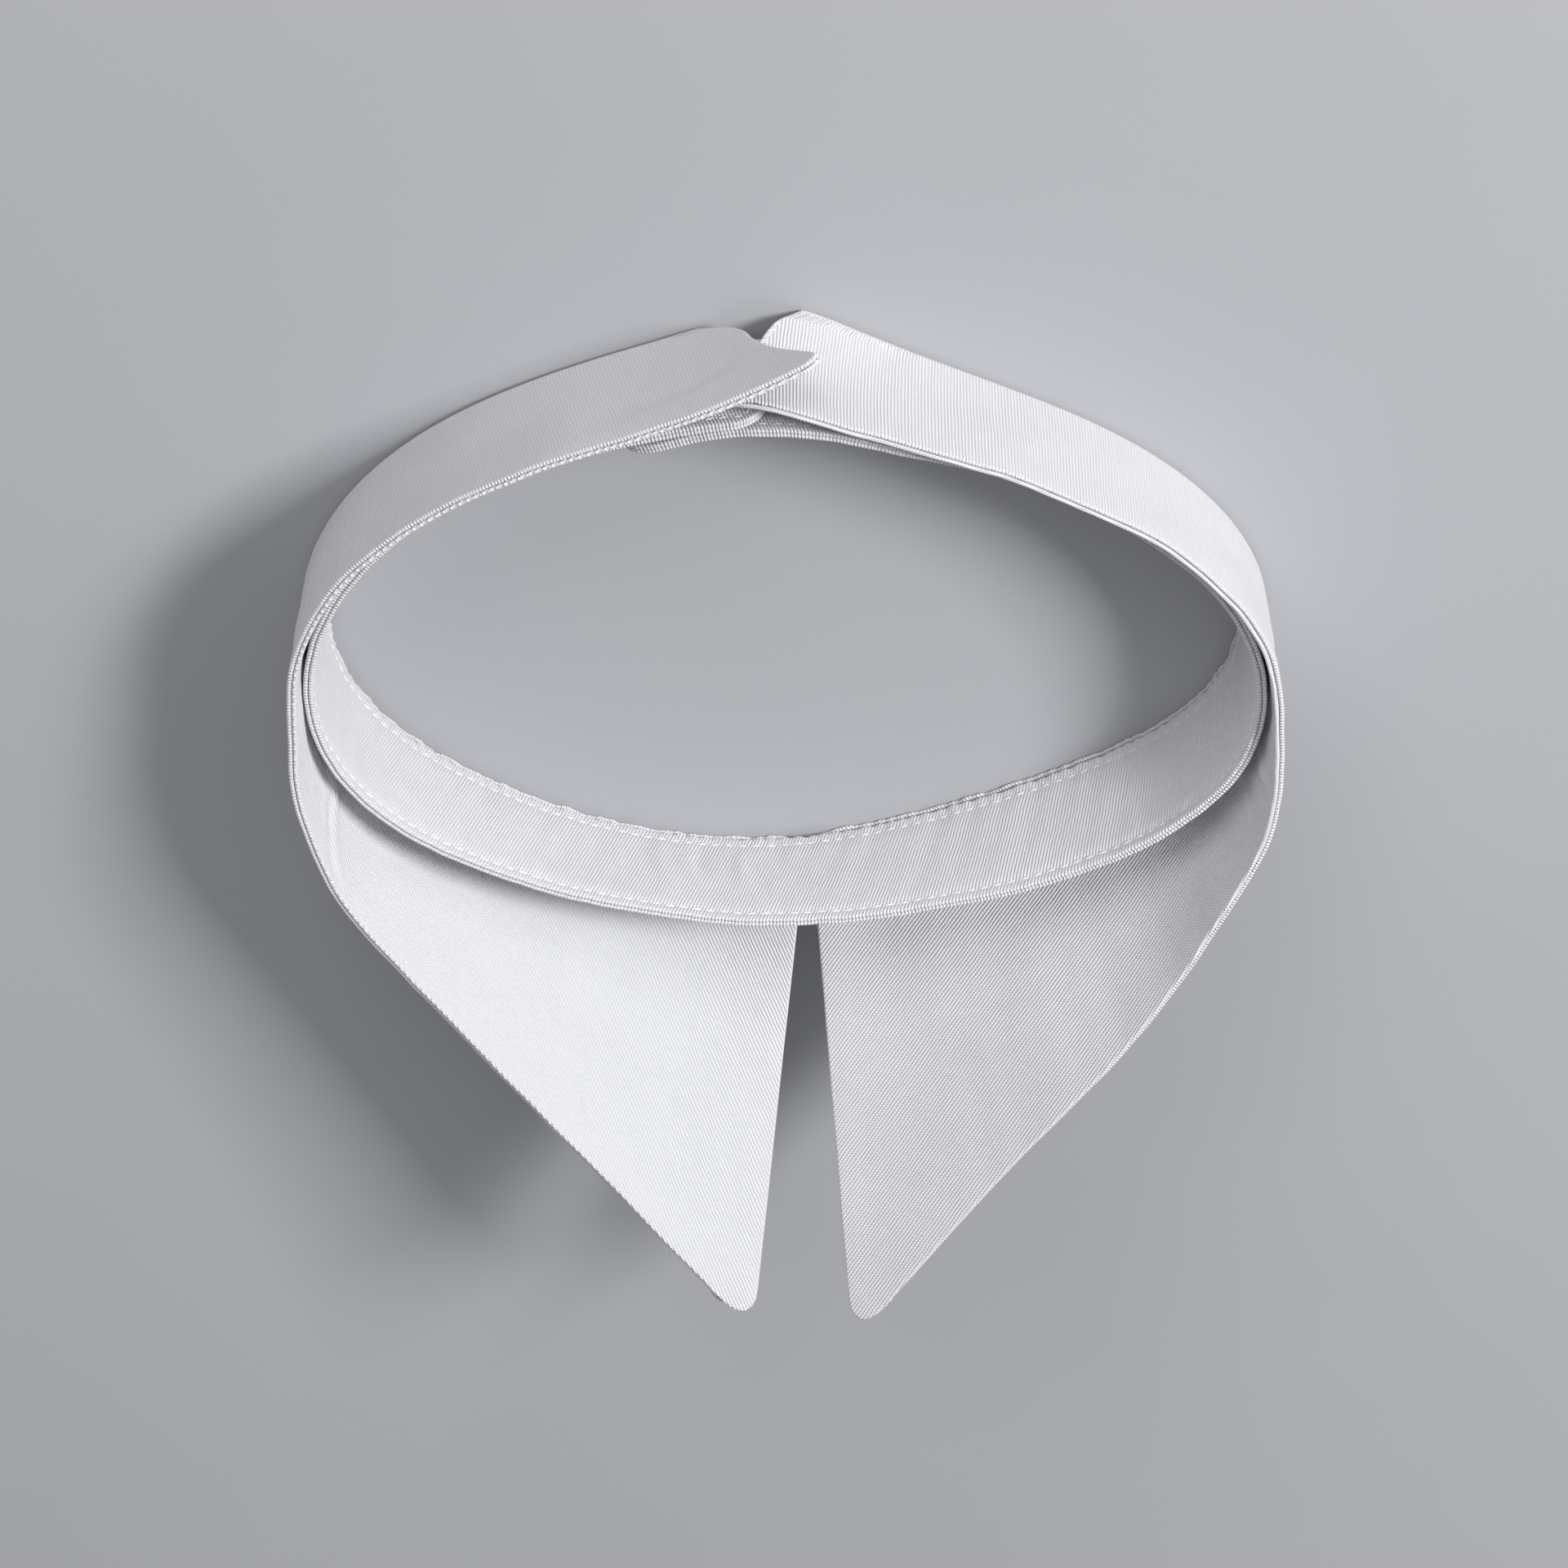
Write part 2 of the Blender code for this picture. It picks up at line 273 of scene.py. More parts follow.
# Unevenness: the scale of its waves, how far they go, and their seed.
STITCH_DRIFT = (14.0, 0.22, 3)
STITCH_PULL = (9.0, 0.40, 4)
STAND_DAPPLE = (17.0, 0.10, 5)
LIP_WANDER = (5.5, 1.3, 6)
NECK_EDGE_WANDER = (6.5, 0.09, 7)
STAND_RIPPLE = (5.5, 0.055, 8)
STAND_TOP_WANDERS = ((24.0, 0.10, 51), (6.0, 0.04, 52))
HEM_WANDERS = ((21.0, 0.10, 61), (5.5, 0.04, 62))
LEAF_DAPPLES = ((26.0, 0.16), (9.0, 0.035))

# The cloth's pattern: its ribs, its yarns, its fibres, how it drifts, and where it was pressed.
TWILL_PITCH = 0.50
YARN_PITCH = 0.40
YARN_TURN = 58.0
FIBRE_GRAIN = 0.16
WEAVE_DRIFT = 3.0
PRESSED_PATCH = 11.0
THREAD_TWIST = 0.9

# ---------------------------------------------------------------- the neck and its pieces


def smooth(table, columns, name, along):
    """A table's named column at any distance along, by cubic pieces through its rows."""
    rows = np.array(table, float)
    x, y = rows[:, columns.index("along")], rows[:, columns.index(name)]
    slope = np.gradient(y, x)
    along = np.clip(along, x[0], x[-1])
    i = np.clip(np.searchsorted(x, along, side="right") - 1, 0, len(x) - 2)
    width = x[i + 1] - x[i]
    u = (along - x[i]) / width
    start = y[i] * (1 + 2 * u) * (1 - u) ** 2 + slope[i] * width * u * (1 - u) ** 2
    end = y[i + 1] * u**2 * (3 - 2 * u) + slope[i + 1] * width * u**2 * (u - 1)
    return start + end


def neck_line(bend_table):
    """The neck's middle line in plan: its heading adds up the bend, its place adds up the heading."""
    along = np.arange(-NECK_REACH, NECK_REACH + NECK_STEP / 2, NECK_STEP)
    rows = np.array(bend_table, float)
    bend = np.interp(along, rows[:, 0], rows[:, 1]) * MM
    middle = len(along) // 2

    def add_up(rate):
        steps = (rate[1:] + rate[:-1]) / 2 * NECK_STEP
        total = np.concatenate([[0.0], np.cumsum(steps)])
        return total - total[middle]

    heading = add_up(bend) + np.radians(FRONT_HEADING)
    x = add_up(np.cos(heading)) + FRONT_X
    y = add_up(np.sin(heading)) + FRONT_Y
    return along, x, y, heading


def neck_at(line, along):
    """Points on the neck line, with the level directions outwards of it and along it."""
    distance, x, y, heading = line
    turn = np.interp(along, distance, heading)
    level = np.zeros_like(turn)
    point = np.stack([np.interp(along, distance, x), np.interp(along, distance, y), level], -1)
    outward = np.stack([np.sin(turn), -np.cos(turn), level], -1)
    onward = np.stack([np.cos(turn), np.sin(turn), level], -1)
    return point, outward, onward


def surface_normals(points):
    """The unit normal at each grid point, from the grid's own two directions."""
    normal = np.cross(np.gradient(points, axis=0), np.gradient(points, axis=1))
    return normal / np.linalg.norm(normal, axis=-1, keepdims=True)


def corner_inset(part, radius):
    """How far a rounded corner draws a row's end in, at this part of the corner's height."""
    part = np.clip(part, 0.0, 1.0)
    return radius * (1.0 - np.sqrt(1.0 - part**2))


def pulled_in(along, first, last, inset_first, inset_last, spread):
    """Distances along a row whose two ends are drawn in, easing off over the spread."""
    near_first = np.clip(1.0 - (along - first) / spread, 0.0, 1.0)
    near_last = np.clip(1.0 - (last - along) / spread, 0.0, 1.0)
    first_share, last_share = (near**2 * (3 - 2 * near) for near in (near_first, near_last))
    return along + inset_first * first_share - inset_last * last_share


def edge_steps():
    """Distances in from an edge: close together in its roll, wider after it."""
    return np.array([0.0, 0.02, 0.07, 0.15, 0.26, 0.38, 0.55, 0.8, 1.1, 1.45, 1.8, 2.2])


def graded(first, last, step):
    """Places from first to last: edge_steps in from both ends, and even steps between them."""
    near = edge_steps()
    count = int(round((last - first - 2 * near[-1]) / step))
    middle = np.linspace(first + near[-1], last - near[-1], count + 1)[1:-1]
    return np.concatenate([first + near, middle, last - near[::-1]])


def wander(x, scale, amount, seed):
    """Smooth unevenness along a line: five waves of about that scale, with seeded starts."""
    rng = np.random.default_rng(seed)
    stretch = rng.uniform(0.6, 1.7, 5)
    start = rng.uniform(0.0, 2 * np.pi, 5)
    waves = [np.sin(2 * np.pi * x / (scale * k) + s) for k, s in zip(stretch, start)]
    return amount * sum(waves) / 2.2


def dapple(u, v, scale, amount, seed):
    """Smooth unevenness over a surface: nine waves of about that scale in seeded directions."""
    rng = np.random.default_rng(seed)
    total = np.zeros(np.broadcast(u, v).shape)
    for _ in range(9):
        turn, start = rng.uniform(0.0, 2 * np.pi, 2)
        length = scale * rng.uniform(0.6, 1.8)
        total += np.sin(2 * np.pi * (u * math.cos(turn) + v * math.sin(turn)) / length + start)
    return amount * total / 3.0


def creases(table, u, v, place):
    """The rise of the cloth from its creases.

    Each falls off as exp(-(distance / width) squared) from a line that bows by 0.12 of its length. It
    widens from a to b by the factors 0.75 to 1.25, and fades out past both.
    """
    total = np.zeros(u.shape)
    for row in table:
        c = dict(zip(CREASE_COLUMNS, row))
        ax, ay = place(c["along_a"], c["up_a"])
        bx, by = place(c["along_b"], c["up_b"])
        dx, dy = bx - ax, by - ay
        length = math.hypot(dx, dy)
        part = ((u - ax) * dx + (v - ay) * dy) / length**2
        bend = 0.12 * length * np.sin(np.pi * np.clip(part, 0.0, 1.0))
        across = ((u - ax) * dy - (v - ay) * dx) / length + bend
        width = c["width"] * (0.75 + 0.5 * np.clip(part, 0.0, 1.0))
        fade = np.clip(np.minimum(part + 0.25, 1.25 - part) / 0.5, 0.0, 1.0)
        fade = fade * fade * (3 - 2 * fade)
        total += c["depth"] * np.exp(-((across / width) ** 2)) * fade
    return total


# ---------------------------------------------------------------- closed shells of cloth


def edge_distance(points):
    """How far each grid point lies from the grid's own border, in straight lines to its segments.

    The points are taken a block at a time, which keeps the arrays small.
    """
    ring = np.concatenate([points[:, 0], points[-1, 1:], points[-2::-1, -1], points[0, -2::-1]])
    a, b = ring[:-1], ring[1:]
    run = b - a
    square = np.maximum((run**2).sum(-1), 1e-12)
    flat = points.reshape(-1, 3)
    best = np.empty(len(flat))
    block = 1500
    for start in range(0, len(flat), block):
        p = flat[start : start + block, None]
        t = np.clip(((p - a) * run).sum(-1) / square, 0.0, 1.0)
        best[start : start + block] = np.sqrt((((p - a) - run * t[..., None]) ** 2).sum(-1).min(1))
    return best.reshape(points.shape[:2])


def roll(distance):
    """Share of the full thickness at that distance from an edge: a quarter circle, then level."""
    part = np.clip(distance / EDGE_ROLL, 0.0, 1.0)
    return np.sqrt(1.0 - (1.0 - part) ** 2)


def shell(name, middle, normal, front, back, flat_place, material):
    """A closed layer: middle + normal x front and middle - normal x back, sharing one border.

    flat_place is where each point lay on the cut cloth, in millimetres, and becomes the UV map.
    """
    columns, rows = middle.shape[:2]
    top = np.arange(columns * rows).reshape(columns, rows)
    inside = np.zeros((columns, rows), bool)
    inside[1:-1, 1:-1] = True
    bottom = top.copy()
    bottom[inside] = columns * rows + np.arange(inside.sum())
    verts = np.concatenate(
        [
            (middle + normal * front[..., None]).reshape(-1, 3),
            (middle - normal * back[..., None])[inside],
        ]
    )
    flat = np.concatenate([flat_place.reshape(-1, 2), flat_place[inside]])

    def quads(index, turned):
        corners = [index[:-1, :-1], index[1:, :-1], index[1:, 1:], index[:-1, 1:]]
        if turned:
            corners = corners[::-1]
        return np.stack([c.ravel() for c in corners], -1)

    faces = np.concatenate([quads(top, False), quads(bottom, True)])
    mesh = bpy.data.meshes.new(name)
    mesh.vertices.add(len(verts))
    mesh.vertices.foreach_set("co", (verts * MM).ravel())
    mesh.loops.add(faces.size)
    mesh.loops.foreach_set("vertex_index", faces.ravel())
    mesh.polygons.add(len(faces))
    mesh.polygons.foreach_set("loop_start", np.arange(0, faces.size, 4))
    mesh.update(calc_edges=True)
    uv = mesh.uv_layers.new(name="cut")
    uv.data.foreach_set("uv", (flat[faces.ravel()] * MM).ravel())
    mesh.shade_smooth()
    mesh.materials.append(material)
    piece = bpy.data.objects.new(name, mesh)
    bpy.context.collection.objects.link(piece)
    return piece


# ---------------------------------------------------------------- the stand


def stand_places():
    """The stand's grid: distances along it, and shares of the way up, as columns and rows."""
    along = graded(LEFT_STAND_END, RIGHT_STAND_END, STAND_STEP_ALONG)[:, None]
    up = graded(0.0, STAND_HEIGHT, STAND_STEP_UP)[None, :] / STAND_HEIGHT
    return along, up


def stitch_beat(along):
    """The phase of the neck edge's stitches, one turn a stitch, a little uneven."""
    return 2 * np.pi * (along / STITCH_PITCH + wander(along, *STITCH_DRIFT))


def neck_puckers(along, across):
    """Bumps between the neck edge's stitches, uneven and stronger at the sides of the neck.

    Each is (0.5 + 0.5 cos(beat)) to the power 1.4, and fades as exp(-(across / PUCKER_FADE) squared).
    """
    bump = (0.5 + 0.5 * np.cos(stitch_beat(along))) ** 1.4
    strength = 1.0 + wander(along, *STITCH_PULL)
    at_sides = np.clip((np.abs(along) - 45.0) / 25.0, 0.0, 1.0)
    return bump * strength * (1.0 + 0.35 * at_sides) * np.exp(-((across / PUCKER_FADE) ** 2))


def stand_pair(along, up):
    """The surface between the stand's two layers, with its ripples and creases.

    Also gives its normals, how far along and across the cloth each point is, and the height there.
    """
    line = neck_line(STAND_BEND)
    end_height = STAND_SHAPE[0][STAND_COLUMNS.index("height")]
    corner_share = STAND_CORNER / end_height
    inset = corner_inset((up - 1.0 + corner_share) / corner_share, STAND_CORNER)
    drawn = pulled_in(along, LEFT_STAND_END, RIGHT_STAND_END, inset, inset, 3.0 * STAND_CORNER)
    point, outward, _ = neck_at(line, drawn)
    height = smooth(STAND_SHAPE, STAND_COLUMNS, "height", drawn)
    for waves in STAND_TOP_WANDERS:
        height = height + wander(drawn, *waves)
    lean = smooth(STAND_SHAPE, STAND_COLUMNS, "lean", drawn) * up - STAND_IN
    rise = STAND_BOTTOM + height * up
    pair = point + outward * lean[..., None] + UP * rise[..., None]
    normal = surface_normals(pair)
    across = height * up
    loose = np.sin(np.pi * np.clip(up, 0.0, 1.0))
    # The lap is pressed flat, and near the leaves' fold the cloth is held, so both stay calm.
    calm = np.clip((150.0 - np.abs(along)) / 20.0, 0.15, 1.0)
    ripple = creases(STAND_CREASES, drawn, across, lambda a, u: (a, u * STAND_HEIGHT))
    fine = wander(drawn + 0.35 * across, *STAND_RIPPLE) * (0.35 + 0.65 * np.exp(-across / 6.0))
    move = (ripple + dapple(drawn, across, *STAND_DAPPLE)) * loose * calm + fine * calm
    return pair + normal * move[..., None], normal, drawn, across, height


def stitch_dips(across, height):
    """How far the sewing draws a face in, along its two rows."""
    low = np.exp(-(((across - NECK_ROW_IN) / ROW_DIP_WIDTH) ** 2))
    high = np.exp(-(((height - FREE_ROW_IN - across) / ROW_DIP_WIDTH) ** 2))
    return ROW_DIP * (0.5 * low + high)


def stand_layers():
    """Both layers of the neckband: each one's middle surface, the way that it shows, how far its
    shown and its hidden face lie from the middle, and its places on the cut.
    """
    along, up = stand_places()
    pair, normal, drawn, across, height = stand_pair(along, up)
    distance = edge_distance(pair)
    drawn_together = (SEAM_GAP - EDGE_GAP) / 2 * np.clip(1.0 - distance / EDGE_DRAW, 0.0, 1.0) ** 1.5
    scallop = neck_puckers(drawn, across)
    dips = stitch_dips(across, height) * np.clip((distance - 0.5) / 0.8, 0.0, 1.0)
    flat_place = np.stack([drawn + 0 * across, across + 0 * drawn], -1)
    edge = np.exp(-((across / PUCKER_FADE) ** 2))
    drop = (PUCKER_DROP * (0.45 - scallop) + wander(drawn, *NECK_EDGE_WANDER)) * edge
    hidden = LAYER / 2 * roll(distance)
    puff = 0.10 * np.clip((distance - 0.4) / 3.0, 0.0, 1.0)
    shown = hidden + (PUCKER * 0.45 * scallop + puff) * roll(distance) - dips
    made = {}
    for name, side, bulge in (("stand_outer", 1, 0.20), ("stand_inner", -1, 0.60)):
        middle = pair + normal * (side * (PAIR_HALF - drawn_together))[..., None]
        middle += normal * (side * PUCKER * bulge * scallop)[..., None]
        middle[..., 2] += drop
        made[name] = (middle, normal * side, shown, hidden, flat_place)
    return along, up, made


def build_stand(cloth_look):
    """Makes the two shells, and hands back each shown face for the sewing."""
    along, up, made = stand_layers()
    faces = {}
    for name, (middle, normal, shown, hidden, flat_place) in made.items():
        # A shell's front is the side that its grid faces, which is outwards of the neck here.
        if name == "stand_outer":
            piece = shell(name + "_cloth", middle, normal, shown, hidden, flat_place, cloth_look)
        else:
            piece = shell(name + "_cloth", middle, -normal, hidden, shown, flat_place, cloth_look)
        finish_piece(piece, name)
        faces[name] = (middle + normal * shown[..., None], normal)
    return along, up, faces


# ---------------------------------------------------------------- the leaves


def unrolled(fold, hem):
    """Where the leaf's straight lines lay on the cut cloth: each strip is laid flat beside the last.

    Every line keeps its length, and so do the strip's edges and one diagonal.
    """
    line_long = np.linalg.norm(hem - fold, axis=-1)
    fold_gap = np.linalg.norm(np.diff(fold, axis=0), axis=-1)
    hem_gap = np.linalg.norm(np.diff(hem, axis=0), axis=-1)
    diagonal = np.linalg.norm(fold[1:] - hem[:-1], axis=-1)
    low = np.zeros((len(fold), 2))
    high = np.zeros((len(fold), 2))
    high[0] = (0.0, line_long[0])

    def third(a, b, from_a, from_b, turn):
        """The corner of a flat triangle on a and b, at those distances, on the turn side."""
        base = b - a
        long = math.hypot(*base)
        x = (from_a**2 - from_b**2 + long**2) / (2 * long)
        y = math.sqrt(max(from_a**2 - x**2, 0.0))
        return a + base / long * x + turn * np.array([-base[1], base[0]]) / long * y

    for i in range(len(fold) - 1):
        low[i + 1] = third(low[i], high[i], fold_gap[i], diagonal[i], -1)
        high[i + 1] = third(high[i], low[i + 1], hem_gap[i], line_long[i + 1], 1)
    return low, high


def leaf_lines(leaf, along):
    """Each straight line of a leaf: its place on the fold, on the hem, its bow, and outwards there."""
    point, outward, onward = neck_at(neck_line(LEAF_BEND), PARTING + leaf.side * along)
    out, forward, bow, height = (
        smooth(leaf.hem, HEM_COLUMNS, name, along)[..., None] for name in ("out", "onward", "bow", "up")
    )
    fold = point + outward * LEAF_OUT + UP * LEAF_BOTTOM
    hem = fold + outward * out + onward * forward * leaf.side
    hem[..., 2] = height[..., 0]
    for waves in HEM_WANDERS:
        hem[..., 2] += wander(along, *waves)
    return fold, hem, outward * bow, outward


def leaf_rows(line_long):
    """Each line's shares of the way up: closest at the hem, a little wider at the fold, then even.

    The fold isn't a cut edge, so its rows leave out the closest of edge_steps.
    """
    near = edge_steps()
    share = np.linspace(0.0, 1.0, LEAF_ROWS + 1)[None, 1:-1]
    first = near[None, 6:] / line_long
    last = 1.0 - near[None, ::-1] / line_long
    middle = first[:, -1:] + (last[:, :1] - first[:, -1:]) * share
    return np.concatenate([np.zeros_like(line_long), first, middle, last], axis=1)


def leaf_pair(leaf):
    """The surface between a leaf's two layers, from its fold up to its hem, with its creases.

    A point is fold + (hem - fold) x up + bow x 4 up (1 - up), moved along its normal by the creases.
    Also gives its places on the cut, its fold, outwards there, the neck there, and the cut's edges.
    """
    along = graded(PARTING_HALF_GAP, leaf.length, LEAF_STEP_ALONG)
    fold, hem, _, _ = leaf_lines(leaf, along)
    line_long = np.linalg.norm(hem - fold, axis=-1)[:, None]
    low, high = unrolled(fold, hem)
    up = leaf_rows(line_long)
    front_hem = corner_inset((up - 1.0 + POINT_SHARE) / POINT_SHARE, POINT_CORNER)
    back_hem = corner_inset((up - 1.0 + BACK_SHARE) / BACK_SHARE, BACK_CORNER)
    back_end = back_hem + smooth(leaf.end, END_COLUMNS, "inset", up)
    drawn = pulled_in(along[:, None], PARTING_HALF_GAP, leaf.length, front_hem, back_end, CORNER_SPREAD)
    fold, hem, bow, outward = leaf_lines(leaf, drawn)
    share = up[..., None]
    pair = fold + (hem - fold) * share + bow * 4 * share * (1 - share)

    def on_cut(a, u):
        """The place on the cut cloth at distance a along the fold and share u of the way up."""
        lows = [np.interp(a, along, low[:, k]) for k in (0, 1)]
        highs = [np.interp(a, along, high[:, k]) for k in (0, 1)]
        return [lo + (hi - lo) * u for lo, hi in zip(lows, highs)]

    flat_u, flat_v = on_cut(drawn, up)
    normal = surface_normals(pair) * leaf.side
    # The cloth is held near its fold, and pressed flat in the lap, so both stay calm.
    free = np.clip(up * line_long / 9.0, 0.0, 1.0)
    free = free * free * (3 - 2 * free)
    calm = np.clip((leaf.length - 20.0 - along[:, None]) / 15.0, 0.12, 1.0)
    move = creases(leaf.creases, flat_u, flat_v, on_cut) * np.clip(calm + 0.35, 0.0, 1.0)
    for step, (scale, amount) in enumerate(LEAF_DAPPLES):
        move += dapple(flat_u, flat_v, scale, amount, leaf.seed + step) * calm
    pair = pair + normal * (move * free)[..., None]
    flat_place = np.stack([flat_u, flat_v], -1)
    neck = PARTING + leaf.side * drawn[:, 0]
    return pair, flat_place, fold[:, 0], outward[:, 0], neck, (low, high)


def fold_rows(fold, upper, outward, lip_reach, neck):
    """The upper layer's lip: level under the stand's neck edge, then curving up to meet the leaf."""
    rise = upper[:, 1] - upper[:, 0]
    rise = rise / np.linalg.norm(rise, axis=-1, keepdims=True)
    drop = (LAYER / 2 - upper[:, 0, 2]) / rise[:, 2]
    corner = (upper[:, 0] + rise * drop[:, None])[:, None]
    start = corner - outward[:, None] * FOLD_REACH
    end = corner + rise[:, None] * FOLD_REACH
    turn = np.linspace(0.0, 1.0, 9)[None, :, None]
    bend = start * (1 - turn) ** 2 + corner * 2 * turn * (1 - turn) + end * turn**2
    scallops = np.cos(stitch_beat(neck)) * (0.6 + wander(neck, *STITCH_PULL))
    uneven = scallops + wander(neck, *LIP_WANDER)
    # At the parting the two lips draw back out of sight under the stand.
    reach = lip_reach + LIP_SCALLOP * uneven - 1.0 * np.exp(-(((neck - PARTING) / 2.5) ** 2))
    lip = fold[:, None] - (outward * reach[:, None])[:, None]
    lip[..., 2] = LAYER / 2
    near = edge_steps()[None, :-1, None] / edge_steps()[-1] * 0.9
    level = lip + (start - lip) * near
    return np.concatenate([level, bend], axis=1)


def wrap_on_cut(wrap, flat_place):
    """Where the wrap lay on the cut cloth: each line goes straight on past the fold.

    Also gives how far the wrap goes on past the leaf, on average.
    """
    steps = np.linalg.norm(np.diff(wrap, axis=1), axis=-1)[:, ::-1]
    back = np.cumsum(np.concatenate([np.zeros((len(wrap), 1)), steps], axis=1), axis=1)[:, ::-1]
    away = flat_place[:, :1] - flat_place[:, 4:5]
    away = away / np.linalg.norm(away, axis=-1, keepdims=True)
    return flat_place[:, 1:2] + away * back[..., None], float(np.mean(back[:, 0]))


def leaf_layer(leaf, word, middle, normal, flat_place, look):
    """One layer of a leaf. A left leaf's grid faces inwards, so its faces are turned round."""
    half = LAYER / 2 * roll(edge_distance(middle))
    cad_node = "leaf_%s_%s" % (word, leaf.word)
    piece = shell(cad_node + "_cloth", middle, normal, half, half, flat_place, look)
    if leaf.side < 0:
        piece.data.flip_normals()
    finish_piece(piece, cad_node)
    return piece


def build_leaf(leaf, under_look, upper_look):
    """One half of the turned collar: its under layer, and its upper layer, which wraps the fold."""
    pair, flat_place, fold, outward, neck, cut = leaf_pair(leaf)
    normal = surface_normals(pair) * leaf.side
    distance = edge_distance(pair)
    # The two layers are sewn together at the hem and the ends, but not at the fold.
    from_fold = np.linalg.norm(pair - pair[:, :1], axis=-1)
    sewn = np.clip(1.0 - distance / EDGE_DRAW, 0.0, 1.0) ** 1.5 * np.clip(from_fold / 4.0, 0.0, 1.0)
    half = PAIR_HALF - (SEAM_GAP - EDGE_GAP) / 2 * sewn

    under = pair - normal * half[..., None]
    piece = leaf_layer(leaf, "under", under, normal, flat_place, under_look)

    upper = pair + normal * half[..., None]
    wrap = fold_rows(fold, upper, outward, leaf.lip_reach, neck)
    rows = np.concatenate([wrap, upper[:, 1:]], axis=1)
    wrap_place, wrap_depth = wrap_on_cut(wrap, flat_place)
    places = np.concatenate([wrap_place, flat_place[:, 1:]], axis=1)
    piece = leaf_layer(leaf, "upper", rows, surface_normals(rows) * leaf.side, places, upper_look)


def finish_piece(piece, cad_node):
    """A layer rides with the collar and stands for its CAD node, which is hidden."""
    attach(piece, "root")
    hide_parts(cad_node)


# ---------------------------------------------------------------- the sewing


def read_face(along, up, face, a, u):
    """Points of a grid face at any distances a and shares u, read between its four nearest points."""
    columns, rows = along[:, 0], up[0]
    i = np.clip(np.searchsorted(columns, a) - 1, 0, len(columns) - 2)
    j = np.clip(np.searchsorted(rows, u) - 1, 0, len(rows) - 2)
    x = ((a - columns[i]) / (columns[i + 1] - columns[i]))[:, None]
    y = ((u - rows[j]) / (rows[j + 1] - rows[j]))[:, None]
    near = face[i, j] * (1 - y) + face[i, j + 1] * y
    far = face[i + 1, j] * (1 - y) + face[i + 1, j + 1] * y
    return near * (1 - x) + far * x


def stitch_path():
    """The sewn line round the stand in (along, up): neck row, right end, free row, left end."""
    height = smooth(STAND_SHAPE, STAND_COLUMNS, "height", np.array([LEFT_STAND_END, RIGHT_STAND_END]))
    left, right = LEFT_STAND_END + END_ROW_IN, RIGHT_STAND_END - END_ROW_IN
    rows = [(left, NECK_ROW_IN / height[0]), (right, NECK_ROW_IN / height[1])]
    rows += [(right, 1 - FREE_ROW_IN / height[1]), (left, 1 - FREE_ROW_IN / height[0])]
    corners = np.array(rows + rows[:1])
    places = []
    for a, b in zip(corners[:-1], corners[1:]):
        samples = ROW_SAMPLES if abs(b[0] - a[0]) > abs(b[1] - a[1]) else END_SAMPLES
        t = np.linspace(0.0, 1.0, samples)[:, None]
        places.append(a + (b - a) * t)
    path = np.concatenate(places)
    tall = smooth(STAND_SHAPE, STAND_COLUMNS, "height", path[:, 0])
    long_side = np.abs(np.gradient(path[:, 0])) > 1e-3
    low = path[:, 1] < 0.5
    path[:, 1] = np.where(long_side, np.where(low, NECK_ROW_IN / tall, 1 - FREE_ROW_IN / tall), path[:, 1])
    return path


